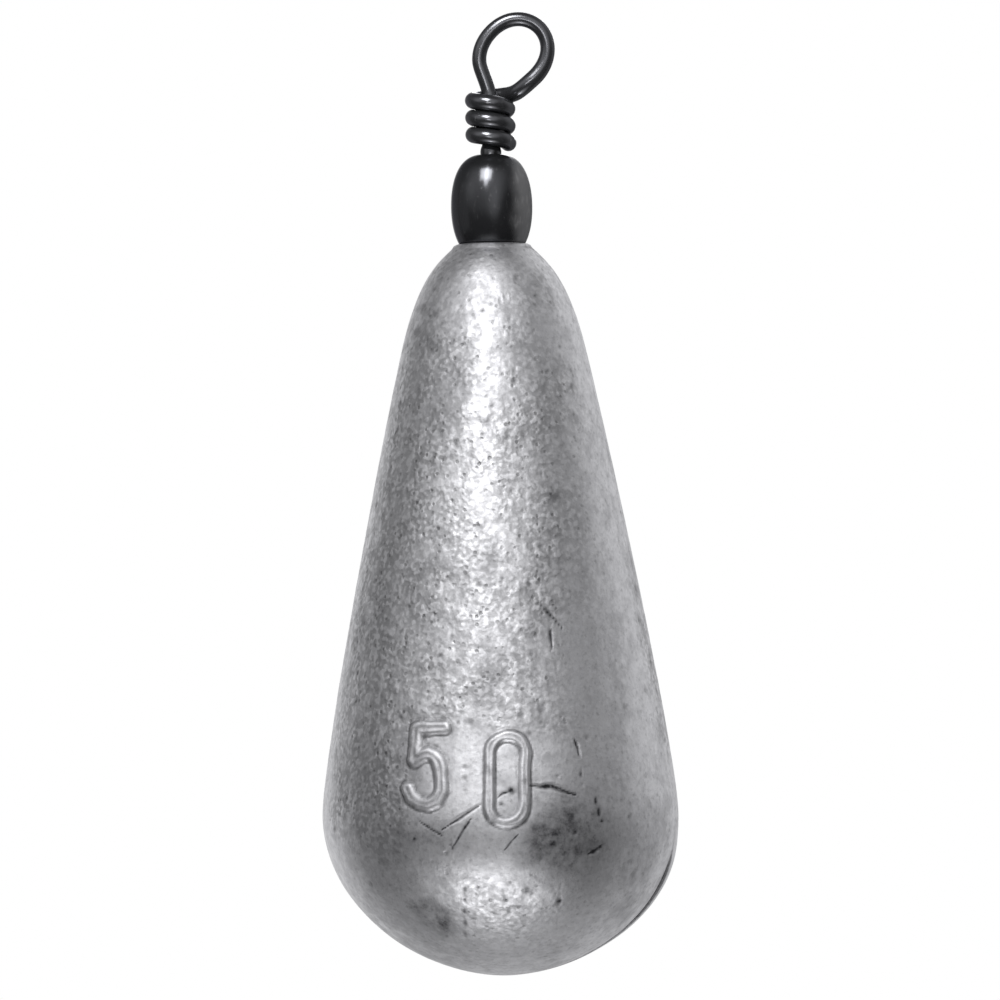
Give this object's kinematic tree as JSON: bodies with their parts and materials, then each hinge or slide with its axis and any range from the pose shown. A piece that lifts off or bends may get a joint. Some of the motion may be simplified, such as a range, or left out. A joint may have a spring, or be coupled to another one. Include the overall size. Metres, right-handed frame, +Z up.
{
  "type": "fishing sinker",
  "caption": "Pear-shaped lead casting sinker hung on a barrel swivel, with a wrapped wire eye for the line and its weight in grams cast on the front.",
  "frame": {"origin": "the middle of the line eye's opening", "axes": "+Z up along the swivel's axis, away from the weight; +X to the side on which the eye's bow lies; -Y to the front, on which the figures are cast. The swivel's axis is parallel to Z at x = -1.14 mm, y = 0"},
  "size_m": [0.0169, 0.017, 0.0457],
  "materials": {
    "lead": "cast lead, sandy and partly dulled",
    "wire": "black nickel, glossy",
    "barrel": "black nickel, glossy"
  },
  "bodies": {
    "line_eye": {"line_eye": "wire"},
    "barrel": {"swivel_barrel": "barrel"},
    "weight": {"lead_weight": "lead", "anchor_eye": "wire"}
  },
  "joints": [
    {"name": "barrel_turn", "type": "hinge", "parent": "line_eye", "child": "barrel", "pos_m": [-0.00114, 0, -0.00725], "axis": [0, 0, 1], "continuous": true},
    {"name": "weight_turn", "type": "hinge", "parent": "barrel", "child": "weight", "pos_m": [-0.00114, 0, -0.00725], "axis": [0, 0, 1], "continuous": true}
  ]
}
